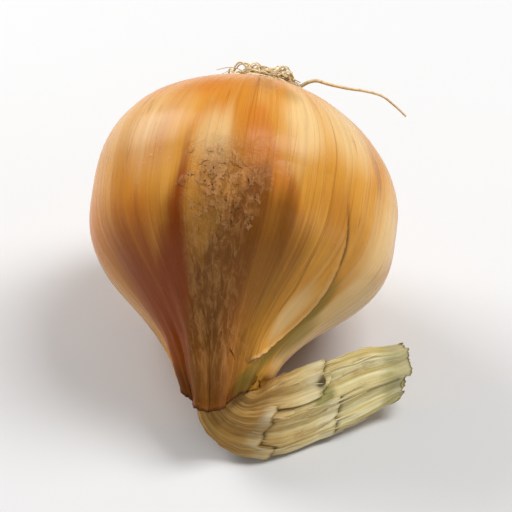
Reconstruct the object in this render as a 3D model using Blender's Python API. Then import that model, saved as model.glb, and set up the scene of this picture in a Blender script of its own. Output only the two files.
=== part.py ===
"""A whole yellow onion as it lies on a surface: a globe bulb that draws in to its neck,
the dried root crown at the upper end, and the withered stalk folded over at the neck."""

import math
import random

import bmesh
import bpy
from mathutils import Matrix, Vector, noise

MM = 0.001

# The bulb, measured along its own axis from its widest section
BULB_RADIUS = 36 * MM
ROOT_END = 29.4 * MM
NECK_END = 46.6 * MM
NECK_RADIUS = 5 * MM
TAPER_LENGTH = 29.5 * MM
TAPER_POWER = 4

# How it lies: the root end points up and back, and the belly stands on a small flat spot
AXIS_RISE = math.radians(29.7)
WIDEST_CENTRE = Vector((0, 2.3, 36.2)) * MM

# How far the torn end of the stalk reaches in and out
TORN_DEPTH = 1.4 * MM

# Gap that keeps pieces which touch from sharing material
GAP = 0.3 * MM

# The neck ends in a collar round a socket for the stalk, with a round tongue at its front
COLLAR_SLANT = 3.6 * MM
COLLAR_LONGEST = math.radians(-24)
TONGUE = 0.35
NECK_LEAN = 1.0 * MM
SOCKET_RADIUS = 5.9 * MM
SOCKET_FLOOR = 41 * MM

# Recess at the root end, where the root plate sits
RECESS_RADIUS = 8.8 * MM
RIM_RADIUS = 9.6 * MM
RECESS_RIM = ROOT_END * math.sqrt(1 - (RIM_RADIUS / BULB_RADIUS) ** 2)
RECESS_FLOOR = RECESS_RIM - 1.9 * MM

ACROSS = Vector((1, 0, 0))
AXIS_UP = Vector((0, math.cos(AXIS_RISE), math.sin(AXIS_RISE)))
FACE_UP = Vector((0, -math.sin(AXIS_RISE), math.cos(AXIS_RISE)))

SKIN_COLOUR = (0.62, 0.30, 0.075, 1)
ROOT_COLOUR = (0.36, 0.27, 0.15, 1)
STALK_COLOUR = (0.52, 0.42, 0.20, 1)


def clear_scene():
    for old in list(bpy.data.objects):
        bpy.data.objects.remove(old, do_unlink=True)


def material(name, colour, roughness):
    made = bpy.data.materials.new(name)
    made.use_nodes = True
    shader = made.node_tree.nodes["Principled BSDF"]
    shader.inputs["Base Color"].default_value = colour
    shader.inputs["Roughness"].default_value = roughness
    shader.inputs["Metallic"].default_value = 0
    return made


def add_object(name, bm, finish):
    """Links a finished bmesh as one named object, smooth but for its sharp rims."""
    mesh = bpy.data.meshes.new(name)
    bm.to_mesh(mesh)
    bm.free()
    mesh.shade_smooth()
    mesh.set_sharp_from_angle(angle=math.radians(55))
    mesh.materials.append(finish)
    made = bpy.data.objects.new(name, mesh)
    bpy.context.scene.collection.objects.link(made)
    return made


def lie_down():
    """From the bulb's own frame, root end up, to how the onion lies."""
    return Matrix.Translation(WIDEST_CENTRE) @ Matrix.Rotation(
        AXIS_RISE - math.pi / 2, 4, "X"
    )


def smoothstep(low, high, value):
    share = min(1.0, max(0.0, (value - low) / (high - low)))
    return share * share * (3 - 2 * share)


def outline_radius(height):
    """Radius of the bulb at a height along its axis, above or below the widest section."""
    if height >= 0:
        return BULB_RADIUS * math.sqrt(max(0.0, 1 - (height / ROOT_END) ** 2))
    fall = (-height / TAPER_LENGTH) ** TAPER_POWER
    return NECK_RADIUS + (BULB_RADIUS - NECK_RADIUS) / (1 + fall)


def bulge(turn, height):
    """How much further out than a plain turned form the skin lies, as a factor.
    The turn is 0 on the side that faces up, and a quarter turn at +X."""
    shoulder = smoothstep(0, 24 * MM, height) * 0.055 * math.cos(turn + math.radians(100))
    lobes = 0.010 * math.cos(3 * turn + 0.7) + 0.006 * math.cos(5 * turn - 1.1)
    ribs = 0.0045 * math.cos(14 * turn + 0.6 * math.sin(3 * turn))
    towards_neck = smoothstep(24 * MM, 42 * MM, -height)
    pleats = 0.06 * towards_neck * math.sin(9 * turn + 1.3 * math.sin(2 * turn + 0.5))
    squeeze = 0.12 * smoothstep(42 * MM, 52 * MM, -height)
    return 1 + shoulder + lobes + ribs * (1 - towards_neck) + pleats - squeeze


def collar_shift(turn, height):
    """How much longer the neck is on this side, so that its end slants to a tongue."""
    share = smoothstep(SOCKET_FLOOR, NECK_END - 0.4 * MM, -height)
    side = turn - COLLAR_LONGEST
    return share * COLLAR_SLANT * (math.cos(side) + TONGUE * math.cos(2 * side))


def neck_lean(out):
    """How far the neck leans to +X at a distance out along the neck."""
    return NECK_LEAN * smoothstep(30 * MM, 51 * MM, out)


def bulb_profile():
    """Radius and height from the recess at the root end, over the skin, into the socket."""
    steps_root, steps_neck = 11, 18
    points = [(0, RECESS_FLOOR), (RECESS_RADIUS, RECESS_FLOOR)]
    points.append((RECESS_RADIUS + 0.2 * MM, RECESS_RIM - 0.4 * MM))
    rim_angle = math.asin(RECESS_RIM / ROOT_END)
    for i in range(steps_root):
        height = ROOT_END * math.sin(rim_angle * (1 - i / steps_root))
        points.append((outline_radius(height), height))
    for i in range(steps_neck + 1):
        height = -NECK_END * i / steps_neck
        points.append((outline_radius(height), height))
    points.append((SOCKET_RADIUS, -NECK_END + 0.4 * MM))
    points.append((SOCKET_RADIUS, -SOCKET_FLOOR))
    points.append((0, -SOCKET_FLOOR))
    return points


def spun(profile, steps):
    """A closed turned solid about the bulb's axis from a profile that starts and ends on it."""
    bm = bmesh.new()
    line = [bm.verts.new((radius, 0, height)) for radius, height in profile]
    edges = [bm.edges.new(pair) for pair in zip(line, line[1:])]
    bmesh.ops.spin(
        bm, geom=line + edges, cent=(0, 0, 0), axis=(0, 0, 1),
        angle=2 * math.pi, steps=steps, use_merge=True,
    )
    bmesh.ops.remove_doubles(bm, verts=bm.verts, dist=0.001 * MM)
    bmesh.ops.recalc_face_normals(bm, faces=bm.faces)
    return bm


def cut_at_surface(bm):
    """Takes off what would reach below the surface, which leaves a small flat spot."""
    whole = bm.verts[:] + bm.edges[:] + bm.faces[:]
    bmesh.ops.bisect_plane(
        bm, geom=whole, dist=0.001 * MM, plane_co=(0, 0, 0), plane_no=(0, 0, 1),
        clear_inner=True,
    )
    open_edges = [edge for edge in bm.edges if edge.is_boundary]
    bmesh.ops.holes_fill(bm, edges=open_edges, sides=0)
    bmesh.ops.recalc_face_normals(bm, faces=bm.faces)


def make_bulb():
    skin_share = 0.93
    bm = spun(bulb_profile(), steps=84)
    for vert in bm.verts:
        x, y, height = vert.co
        radius, turn = math.hypot(x, y), math.atan2(x, -y)
        shift = collar_shift(turn, height)
        factor = 1.0
        if radius > skin_share * outline_radius(height):
            factor = bulge(turn, height - shift)
        lean = neck_lean(shift - height)
        vert.co = Vector((x * factor + lean, y * factor, height - shift))
    bmesh.ops.transform(bm, matrix=lie_down(), verts=bm.verts)
    cut_at_surface(bm)
    return add_object("bulb", bm, material("onion_skin", SKIN_COLOUR, 0.38))


def tube(bm, rings):
    """A closed tube through rings of points, all with the same number of points."""
    last = [bm.verts.new(point) for point in rings[0]]
    bm.faces.new(last)
    for ring in rings[1:]:
        loop = [edge for edge in bm.edges if edge.verts[0] in last and edge.verts[1] in last]
        grown = bmesh.ops.extrude_edge_only(bm, edges=loop)["geom"]
        moved = [vert for vert in grown if isinstance(vert, bmesh.types.BMVert)]
        after = {}
        for vert in last:
            after[vert] = next(
                edge.other_vert(vert) for edge in vert.link_edges
                if edge.other_vert(vert) in moved
            )
        last = [after[vert] for vert in last]
        for vert, point in zip(last, ring):
            vert.co = point
    bm.faces.new(last)
    bmesh.ops.recalc_face_normals(bm, faces=bm.faces)


def smooth_line(points, per_span):
    """A Catmull-Rom line through the points, which starts and ends at the first and last."""
    padded = [2 * points[0] - points[1]] + points + [2 * points[-1] - points[-2]]
    line = []
    for a, b, c, d in zip(padded, padded[1:], padded[2:], padded[3:]):
        for i in range(per_span):
            t = i / per_span
            line.append(
                0.5 * (2 * b + (c - a) * t + (2 * a - 5 * b + 4 * c - d) * t * t
                       + (3 * b - a - 3 * c + d) * t ** 3)
            )
    return line + [points[-1]]


def mixed(stops, share):
    """Value at a share of the way, straight between the stops, each a (share, value) pair."""
    for (start, low), (end, high) in zip(stops, stops[1:]):
        if share <= end:
            return low + (high - low) * (share - start) / (end - start)
    return stops[-1][1]


def beside_axis(across, out, lift):
    """Point at millimetres across, out along the neck, and up from the neck's middle."""
    middle = WIDEST_CENTRE + ACROSS * neck_lean(out * MM)
    return middle + (ACROSS * across - AXIS_UP * out + FACE_UP * lift) * MM


def stalk_edges():
    """Upper and lower edge of the stalk: out of the socket, over in a sharp fold at the
    collar, then back beside the bulb with the lower edge close to the surface."""
    upper = [
        beside_axis(5.0, 41.8, 0), beside_axis(5.1, 43.4, 0.4), beside_axis(6.6, 46.0, 1.6),
        beside_axis(8.9, 46.2, 2.6),
    ]
    lower = [
        beside_axis(-5.0, 41.8, 0), beside_axis(-5.0, 45.5, 0), beside_axis(-4.6, 50.0, -0.9),
        beside_axis(-2.4, 54.6, -3.0),
    ]
    upper_run = [(12.6, -37.0, 17.0), (15.8, -33.2, 16.0), (19.4, -28.8, 14.8),
                 (25.4, -24.0, 14.0), (32.0, -19.8, 14.4), (39.3, -17.4, 14.2)]
    lower_run = [(3.4, -44.9, 2.6), (10.0, -45.6, 1.5), (17.4, -42.6, 0.9),
                 (25.2, -36.8, 1.6), (33.5, -30.8, 3.2), (40.8, -25.4, 5.4)]
    upper += [Vector(point) * MM for point in upper_run]
    lower += [Vector(point) * MM for point in lower_run]
    return smooth_line(upper, per_span=4), smooth_line(lower, per_span=4)


def make_stalk():
    sides = 28
    upper, lower = stalk_edges()
    count = len(upper)
    thick_stops = [(0, 5.0), (0.11, 4.6), (0.3, 3.0), (0.5, 2.7), (0.8, 2.0), (1, 1.4)]
    rings = []
    for i in range(count):
        share = i / (count - 1)
        centre = (upper[i] + lower[i]) / 2
        before, after = max(i - 1, 0), min(i + 1, count - 1)
        along = (upper[after] + lower[after] - upper[before] - lower[before]).normalized()
        broad = (upper[i] - lower[i]) / 2
        facing = along.cross(broad).normalized()
        thick = mixed(thick_stops, share) * MM
        free = smoothstep(0.12, 0.3, share)
        ring = []
        for k in range(sides):
            angle = 2 * math.pi * k / sides
            across = math.cos(angle)
            place = Vector((across * 1.7, math.sin(angle) * 0.8, share * 5))
            puckered = 1 + free * 0.22 * noise.noise(place)
            crease = free * 0.55 * MM * math.sin(7.5 * across + 2.2 * share + 0.4)
            point = centre + broad * across + facing * (
                thick * puckered * math.sin(angle) + crease * (1 - across ** 4)
            )
            if i == count - 1:
                point += along * TORN_DEPTH * math.sin(3 * angle + 0.8)
            point.z = max(point.z, 0)
            ring.append(point)
        rings.append(ring)
    bm = bmesh.new()
    tube(bm, rings)
    return add_object("withered_stalk", bm, material("dry_stalk", STALK_COLOUR, 0.7))


def root_strand(points, base_radius, tip_radius, sides=4):
    """One thin root as a closed tapered tube along its points."""
    rings = []
    side = (points[1] - points[0]).orthogonal()
    for i, centre in enumerate(points):
        along = (points[min(i + 1, len(points) - 1)] - points[max(i - 1, 0)]).normalized()
        side = (side - side.dot(along) * along).normalized()
        other = along.cross(side)
        radius = base_radius + (tip_radius - base_radius) * i / (len(points) - 1)
        rings.append([
            centre + radius * (side * math.cos(a) + other * math.sin(a))
            for a in (2 * math.pi * k / sides for k in range(sides))
        ])
    bm = bmesh.new()
    tube(bm, rings)
    bmesh.ops.triangulate(bm, faces=bm.faces)
    return bm


def root_plate():
    """Low cork-like disc that fills the recess, with a hollow at its middle."""
    edge = RECESS_RADIUS - GAP
    profile = [
        (0, RECESS_FLOOR + GAP),
        (edge, RECESS_FLOOR + GAP),
        (edge, RECESS_RIM - 0.2 * MM),
        (7.4 * MM, RECESS_RIM + 0.9 * MM),
        (4.6 * MM, RECESS_RIM + 0.8 * MM),
        (2.4 * MM, RECESS_RIM - 0.5 * MM),
        (0, RECESS_RIM - 0.7 * MM),
    ]
    return spun(profile, steps=28)


def short_root(rng, index, count):
    """Middle points of one short root, from inside the plate outwards and round."""
    golden_turn = math.radians(137.5)
    radius = (2.9 + 4.9 * math.sqrt((index + 0.5) / count)) * MM
    turn = index * golden_turn
    outward = Vector((math.sin(turn), -math.cos(turn), 0))
    sideways = Vector((math.cos(turn), math.sin(turn), 0))
    start = outward * radius + Vector((0, 0, RECESS_RIM - 0.9 * MM))
    length = rng.uniform(5.2, 8.6) * MM
    lean = rng.uniform(0.1, 0.9) * radius / (7.5 * MM)
    curl = rng.uniform(-1.1, 1.1)
    points = []
    for i in range(5):
        t = i / 4
        points.append(
            start + Vector((0, 0, length * (t - 0.32 * t * t)))
            + outward * length * lean * t
            + sideways * length * curl * t * t
        )
    return points


def long_root():
    """The one root left long, which reaches out to the side and droops at its tip."""
    reach = [(6.6, 0, 27.8), (9.2, -0.7, 30.8), (12.5, -1.2, 32.5), (16.2, -1.5, 31.8),
             (20.8, -1.5, 31.2), (24.6, -1.0, 31.2), (28.7, 0, 30.8), (32.0, 1.5, 29.2),
             (34.8, 3.5, 27.6)]
    return [Vector(point) * MM for point in reach]


def join_all(name, pieces, finish):
    """One solid from pieces that overlap, by one union on their collection."""
    group = bpy.data.collections.new(name + "_pieces")
    bpy.context.scene.collection.children.link(group)
    base = add_object(name, pieces[0], finish)
    for i, piece in enumerate(pieces[1:]):
        mesh = bpy.data.meshes.new(f"{name}_piece_{i}")
        piece.to_mesh(mesh)
        piece.free()
        group.objects.link(bpy.data.objects.new(mesh.name, mesh))
    union = base.modifiers.new("union", "BOOLEAN")
    union.operation = "UNION"
    union.operand_type = "COLLECTION"
    union.collection = group
    union.solver = "EXACT"
    bpy.context.view_layer.update()
    whole = bpy.data.meshes.new_from_object(
        base.evaluated_get(bpy.context.evaluated_depsgraph_get())
    )
    base.modifiers.clear()
    base.data = whole
    for piece in list(group.objects):
        bpy.data.objects.remove(piece, do_unlink=True)
    bpy.data.collections.remove(group)
    return base


def make_root_crown():
    rng = random.Random(7)
    count = 64
    pieces = [root_plate()]
    for i in range(count):
        pieces.append(root_strand(short_root(rng, i, count), 0.55 * MM, 0.36 * MM))
    pieces.append(root_strand(long_root(), 0.6 * MM, 0.35 * MM))
    for piece in pieces:
        bmesh.ops.transform(piece, matrix=lie_down(), verts=piece.verts)
    return join_all("root_crown", pieces, material("dry_roots", ROOT_COLOUR, 0.85))


clear_scene()
make_bulb()
make_stalk()
make_root_crown()
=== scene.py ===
import math
import random

import bmesh
import bpy
from mathutils import Matrix, Vector, noise
from mathutils.bvhtree import BVHTree


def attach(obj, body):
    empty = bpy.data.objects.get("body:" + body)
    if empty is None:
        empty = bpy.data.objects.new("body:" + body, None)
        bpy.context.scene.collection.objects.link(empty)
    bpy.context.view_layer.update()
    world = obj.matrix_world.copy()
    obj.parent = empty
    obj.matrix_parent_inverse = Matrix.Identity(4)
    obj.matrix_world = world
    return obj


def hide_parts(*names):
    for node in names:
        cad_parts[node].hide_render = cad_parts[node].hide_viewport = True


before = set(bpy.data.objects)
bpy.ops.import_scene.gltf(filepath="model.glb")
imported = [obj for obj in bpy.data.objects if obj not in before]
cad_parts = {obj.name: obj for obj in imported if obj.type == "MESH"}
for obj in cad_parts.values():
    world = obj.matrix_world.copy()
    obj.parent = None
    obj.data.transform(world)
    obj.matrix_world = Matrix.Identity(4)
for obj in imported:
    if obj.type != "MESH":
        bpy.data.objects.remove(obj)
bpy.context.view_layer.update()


# Camera. The onion was photographed from the front, a little from the right and from well
# above. The same direction and distance, with a longer lens that lets it fill the frame.
VIEW_AZIMUTH = math.radians(9)
VIEW_ELEVATION = math.radians(40)
VIEW_DISTANCE = 0.85
AIM = Vector((0.0042, -0.0064, 0.0281))

lens = bpy.data.cameras.new("camera")
lens.sensor_width = 36
lens.lens = 255
camera = bpy.data.objects.new("camera", lens)
towards_camera = Vector((
    math.sin(VIEW_AZIMUTH) * math.cos(VIEW_ELEVATION),
    -math.cos(VIEW_AZIMUTH) * math.cos(VIEW_ELEVATION),
    math.sin(VIEW_ELEVATION),
))
camera.location = AIM + towards_camera * VIEW_DISTANCE
camera.rotation_euler = towards_camera.to_track_quat("Z", "Y").to_euler()
bpy.context.scene.collection.objects.link(camera)
bpy.context.scene.camera = camera
bpy.context.scene.view_settings.view_transform = "Standard"


# Bulb. Fleshy leaf bases under a thin, dry, tightly drawn skin. It grew as one piece round
# its own axis, widest below its shoulder, and draws in by pleats to a slanting collar.
MM = 0.001
BULB_RADIUS = 36 * MM
ROOT_END = 29.4 * MM
NECK_END = 46.6 * MM
NECK_RADIUS = 5 * MM
TAPER_LENGTH = 29.5 * MM
TAPER_POWER = 4
AXIS_RISE = math.radians(29.7)
WIDEST_CENTRE = Vector((0, 2.3, 36.2)) * MM
COLLAR_SLANT = 3.6 * MM
COLLAR_LONGEST = math.radians(-24)
TONGUE = 0.35
NECK_LEAN = 1.0 * MM
SOCKET_RADIUS = 5.9 * MM
SOCKET_FLOOR = 41 * MM
RECESS_RADIUS = 8.8 * MM
RIM_RADIUS = 9.6 * MM
RECESS_RIM = ROOT_END * math.sqrt(1 - (RIM_RADIUS / BULB_RADIUS) ** 2)
RECESS_FLOOR = RECESS_RIM - 1.9 * MM

# How far the skin swells out, or is drawn in, as shares of the radius.
SHOULDER_SWELL = 0.055
SHOULDER_SIDE = math.radians(-100)
THREE_LOBES = 0.010
FIVE_LOBES = 0.006
RIBS = 14
RIB_SWELL = 0.003
PLEATS = 9
PLEAT_SWELL = 0.06
NECK_SQUEEZE = 0.19

ACROSS = Vector((1, 0, 0))
AXIS_UP = Vector((0, math.cos(AXIS_RISE), math.sin(AXIS_RISE)))
FACE_UP = Vector((0, -math.sin(AXIS_RISE), math.cos(AXIS_RISE)))
LIE_DOWN = Matrix.Translation(WIDEST_CENTRE) @ Matrix.Rotation(AXIS_RISE - math.pi / 2, 4, "X")


def smoothstep(low, high, value):
    """0 up to low, 1 from high on, and an even slope with soft ends between them."""
    share = min(1.0, max(0.0, (value - low) / (high - low)))
    return share * share * (3 - 2 * share)


def outline_radius(height):
    """Radius of the bulb at a height along its axis, above or below the widest section."""
    if height >= 0:
        return BULB_RADIUS * math.sqrt(max(0.0, 1 - (height / ROOT_END) ** 2))
    fall = (-height / TAPER_LENGTH) ** TAPER_POWER
    return NECK_RADIUS + (BULB_RADIUS - NECK_RADIUS) / (1 + fall)


def bulge(turn, height):
    """How much further out than a plain turned form the skin lies, as a factor."""
    shoulder = smoothstep(0, 24 * MM, height) * SHOULDER_SWELL * math.cos(turn - SHOULDER_SIDE)
    lobes = THREE_LOBES * math.cos(3 * turn + 0.7) + FIVE_LOBES * math.cos(5 * turn - 1.1)
    ribs = RIB_SWELL * math.cos(RIBS * turn + 0.6 * math.sin(3 * turn))
    towards_neck = smoothstep(24 * MM, 42 * MM, -height)
    pleats = PLEAT_SWELL * towards_neck * math.sin(PLEATS * turn + 1.3 * math.sin(2 * turn + 0.5))
    squeeze = NECK_SQUEEZE * smoothstep(42 * MM, 52 * MM, -height)
    return 1 + shoulder + lobes + ribs * (1 - towards_neck) + pleats - squeeze


def collar_shift(turn, height):
    """How much longer the neck is on this side, so that its end slants to a tongue."""
    share = smoothstep(SOCKET_FLOOR, NECK_END - 0.4 * MM, -height)
    side = turn - COLLAR_LONGEST
    return share * COLLAR_SLANT * (math.cos(side) + TONGUE * math.cos(2 * side))


def neck_lean(out):
    """How far the neck's middle has moved across at this distance out from the widest section."""
    return NECK_LEAN * smoothstep(30 * MM, 51 * MM, out)


def meridian_noise(turn, height, count, run, seed):
    """Noise drawn out along the meridians, with so many streaks for each radian round."""
    return noise.noise(Vector((
        count * math.cos(turn) + seed, count * math.sin(turn) - seed, height / run
    )))


def relief(turn, height):
    """Fine swell of the skin: soft dents, raised veins, and wrinkles near the neck."""
    towards_neck = smoothstep(20 * MM, 44 * MM, -height)
    dents = 0.30 * MM * meridian_noise(turn, height, 1.5, 24 * MM, 3)
    veins = 0.075 * MM * meridian_noise(turn, height, 12, 60 * MM, 11)
    fine = 0.03 * MM * meridian_noise(turn, height, 30, 35 * MM, 5)
    wrinkles = 0.45 * MM * meridian_noise(turn, height, 6, 15 * MM, 7)
    creases = 0.22 * MM * meridian_noise(turn, height, 13, 11 * MM, 2)
    return dents * (1 - towards_neck) + veins + fine + towards_neck * (wrinkles + creases)


def skin_local(turn, height):
    """Where the skin lies at this turn and height, with the bulb's axis upright."""
    shift = collar_shift(turn, height)
    radius = outline_radius(height) * bulge(turn, height - shift) + relief(turn, height)
    return Vector((
        radius * math.sin(turn) + neck_lean(shift - height),
        -radius * math.cos(turn),
        height - shift,
    ))


def skin_point(turn, height, lift=0.0):
    """Where the skin of the lying bulb is, raised by lift along its normal. The normal comes
    from two points close by, one towards the root end and one round the axis."""
    here = skin_local(turn, height)
    if lift:
        towards_root = skin_local(turn, height + 0.2 * MM) - here
        round_it = skin_local(turn + 0.01, height) - here
        here = here + lift * round_it.cross(towards_root).normalized()
    return LIE_DOWN @ here


def mixed(stops, share):
    """Value at a share of the way, straight between the stops, each a (share, value) pair."""
    for (start, low), (end, high) in zip(stops, stops[1:]):
        if share <= end:
            return low + (high - low) * (share - start) / (end - start)
    return stops[-1][1]


# Split of the outermost skin: its edge as (turn round the axis in degrees, height in mm).
# The turn is 0 on the side that faces up and 90 at +X. The height is 0 at the widest section
# and grows towards the root end.
SPLIT_EDGE = [(44, 2), (47, -4), (50.6, -11.2), (55.9, -19.5), (60.6, -24.6), (63.1, -29.1),
              (61.3, -33.0), (54.1, -36.6), (42.2, -40.4), (33, -43)]


def beyond_split(degrees, mm):
    """Distance in mm from the split's edge, and 0 or more only on its open side."""
    wide = math.radians(outline_radius(mm * MM) / MM)
    nearest, side = 99.0, -1
    for (turn_a, mm_a), (turn_b, mm_b) in zip(SPLIT_EDGE, SPLIT_EDGE[1:]):
        run, rise = (turn_b - turn_a) * wide, mm_b - mm_a
        across, up = (degrees - turn_a) * wide, mm - mm_a
        share = min(1, max(0, (across * run + up * rise) / (run * run + rise * rise)))
        far = math.hypot(across - share * run, up - share * rise)
        if far < nearest:
            nearest, side = far, across * rise - up * run
    return nearest if side < 0 else -nearest


def blob(turn, height, centre_turn, centre_height, half_turn, half_height):
    """1 in the middle of a soft oval on the skin, which fades to 0 outside it."""
    across = (turn - centre_turn + 180) % 360 - 180
    far = math.hypot(across / half_turn, (height - centre_height) / half_height)
    return 1 - smoothstep(0.2, 1.35, far)


def spots(turn, height, ovals):
    """The strongest of several soft ovals at a place."""
    return max(strength * blob(turn, height, *oval) for strength, *oval in ovals)


def swathe(degrees, depth, stops, first=0.12, second=0.5):
    """1 between two lines that run along the skin. First and second are how soft the two
    lines are, as shares of the swathe's width."""
    if not stops[0][0] <= depth <= stops[-1][0]:
        return 0
    left, right, strong = (
        mixed([(stop[0], stop[k]) for stop in stops], depth) for k in (1, 2, 3)
    )
    lead, trail = 2 + first * (right - left), 2 + second * (right - left)
    inside = smoothstep(left - lead, left + lead, degrees)
    return strong * inside * (1 - smoothstep(right - trail, right + trail, degrees))


# Where the tones of the skin lie, in degrees of turn and mm of height as for the split. A spot
# is its strength, the turn and height of its middle, and its half width and half height. A
# stop of a swathe is how far it is in mm from the widest section towards the neck, the turns
# of its two sides there, and its strength.
WORN_SPOTS = [(1, -1, -10, 16, 14), (0.6, 9, 21, 9, 5), (0.5, 172, -8, 18, 20),
              (0.4, 118, -30, 18, 14)]
WORN_SWATHE = [(8, -15, 8, 0), (20, -17, 7, 1), (34, -22, 16, 1), (52, -40, 60, 0.7)]
# The red cheek, and the red swathe where it widens to the left from about 22 mm towards the neck, are
# painted shade and painted red reflected light low on the left side. Nearer the widest section the
# swathe is the skin's own red-brown streak.
SHADED_RED_CHEEK = (0.95, -50, -32, 35, 20)
RED_SPOTS = [(0.4, 66, 6, 3.5, 8), (0.4, -125, -22, 12, 18), (0.5, 146, -20, 9, 16),
             (0.5, -168, -22, 7, 16)]
RED_SWATHE = [(-10, -18, -15, 0), (-3, -18, -14, 0.5), (7, -20, -14, 0.95), (17, -23, -14, 1),
              (22, -30, -14, 1), (27, -44, -14, 1), (33, -70, -16, 1), (44, -92, -28, 0.85),
              (52, -90, -40, 0.8)]
# The pale spots at turns -42, -6, 27 and 50, on the side that faces up, are painted highlight. The
# other pale spots and the pale swathe are the skin's own paler tone.
PALE_SPOTS = [(0.9, 27, 11, 12, 13), (0.8, 50, 13, 22, 13), (0.8, 78, -10, 18, 19),
              (0.55, -42, 9, 28, 13), (0.7, 52, -30, 9, 8), (0.7, -6, 2, 9, 11),
              (0.6, -160, 4, 30, 15), (0.6, 122, 10, 14, 18)]
PALE_SWATHE = [(8, 84, 112, 0), (20, 70, 118, 1), (32, 72, 120, 1), (44, 76, 120, 0.4)]
GREEN_SPOTS = [(0.75, 78, -33, 14, 7), (0.22, 62, -14, 40, 22), (0.5, 44, -27, 20, 15),
               (0.4, 88, -23, 28, 12), (0.5, 62, -46, 34, 8), (0.4, 22, 18, 6, 4),
               (0.15, -32, 7, 8, 7), (0.35, -100, -33, 16, 6)]
# Of the orange spots, the two low on the left at turns -38 and -75 are partly painted shade and
# reflected light, over the skin's own orange. The others are the skin's own orange.
ORANGE_SPOTS = [(0.6, -14, 18, 13, 5), (0.7, -38, -16, 20, 9), (0.45, 46, -9, 12, 9),
                (0.7, -75, -14, 26, 12), (0.7, 155, 8, 14, 18), (0.6, -128, -8, 14, 18)]
ORANGE_SWATHE = [(-15, 5, 9, 0), (-11, 3, 12, 0.6), (-3, 3, 15, 0.75), (8, 4, 28, 0.75),
                 (20, 6, 40, 0)]
BROWN_CHEEK = (0.4, 44, -11, 16, 13)
BROWN_SWATHE = [(-2, 12, 15, 0), (5, 6, 20, 0.75), (12, 4, 27, 1), (20, -2, 34, 0.95),
                (27, -16, 36, 0.85), (35, -30, 28, 0.85), (52, -60, 50, 0.9)]


def skin_zones(turn, height):
    """How strongly each tone of the skin shows at a place: worn, red-brown, pale, green, orange
    and brown. Low on the left the red-brown and orange are partly painted shade and reflected
    light, towards the neck the brown is partly painted shade, and some pale spots on the side
    that faces up are painted highlight."""
    mm = height / MM
    ragged = 3.0 * meridian_noise(turn, height, 3, 16 * MM, 21)
    degrees = math.degrees(turn) + ragged + 1.2 * meridian_noise(turn, height, 11, 7 * MM, 8)
    streaked = degrees + 8 * meridian_noise(turn, height, 7, 60 * MM, 31)
    partly_streaked = 0.7 * degrees + 0.3 * streaked
    worn = max(spots(degrees, mm, WORN_SPOTS), 0.75 * swathe(degrees, -mm, WORN_SWATHE))
    red = max(
        swathe(partly_streaked, -mm, RED_SWATHE, first=0.45, second=0.3),
        spots(streaked, mm, [SHADED_RED_CHEEK]),
        spots(degrees, mm, RED_SPOTS),
    )
    pale = max(swathe(degrees, -mm, PALE_SWATHE), spots(degrees, mm, PALE_SPOTS))
    green = spots(degrees, mm, GREEN_SPOTS)
    orange = max(
        swathe(degrees, -mm, ORANGE_SWATHE, second=0.08),
        spots(degrees, mm, ORANGE_SPOTS),
    )
    upper_side = 1 - smoothstep(22, 52, abs(degrees))
    right_side = smoothstep(24, 50, degrees)
    # Towards the neck the brown, most of all from the two ramps with depth below, is partly painted
    # shade of the lower side over the neck's own brown.
    brown = max(
        swathe(streaked, -mm, BROWN_SWATHE),
        0.5 * smoothstep(24, 40, -mm) * upper_side,
        spots(streaked, mm, [BROWN_CHEEK]),
        0.5 * smoothstep(34, 46, -mm) * (1 - 0.6 * right_side),
    )
    if 30 < degrees < 95:
        beyond = beyond_split(math.degrees(turn), mm)
        strip = smoothstep(0.2, 0.8, beyond) * (1 - smoothstep(2.5, 6.5, beyond))
        green = max(green, 0.9 * strip * smoothstep(17, 26, -mm))
    return worn, red, pale, green, orange, brown


def new_object(name, bm, materials):
    """A finished piece, smooth shaded, from its bmesh."""
    mesh = bpy.data.meshes.new(name)
    bm.to_mesh(mesh)
    bm.free()
    mesh.shade_smooth()
    for made in materials:
        mesh.materials.append(made)
    piece = bpy.data.objects.new(name, mesh)
    bpy.context.scene.collection.objects.link(piece)
    return piece


def note_layers(bm, names):
    """Layers that keep three numbers for each vertex, which the material reads."""
    for name in names:
        bm.verts.layers.float_vector.new(name)
    return {name: bm.verts.layers.float_vector[name] for name in names}


def skin_notes(bm):
    """Layers for a vertex's place on the skin, and for its tones, three to a layer."""
    return note_layers(bm, ("around", "zones", "tints", "stains"))


def note_skin(vert, notes, turn, height, bare=1.0, rim_and_shade=0.0, scale=0.0):
    """Bare is how much green shows, rim is 1 at a dried dark edge and also carries the painted shadow
    beside the split and the darker line of its fold, and scale is 1 at a dead flake.
    """
    worn, red, pale, green, orange, brown = skin_zones(turn, height)
    vert[notes["around"]] = (math.cos(turn), math.sin(turn), height / BULB_RADIUS)
    vert[notes["zones"]] = (worn, red, pale)
    vert[notes["tints"]] = (green * bare, rim_and_shade, scale)
    vert[notes["stains"]] = (orange, brown, 0)


def paint(red, green, blue):
    """A colour as the eye names it, 0 to 255, made linear for the shader."""
    return tuple(
        (c / 255 / 12.92 if c / 255 <= 0.04045 else ((c / 255 + 0.055) / 1.055) ** 2.4)
        for c in (red, green, blue)
    ) + (1,)


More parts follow.
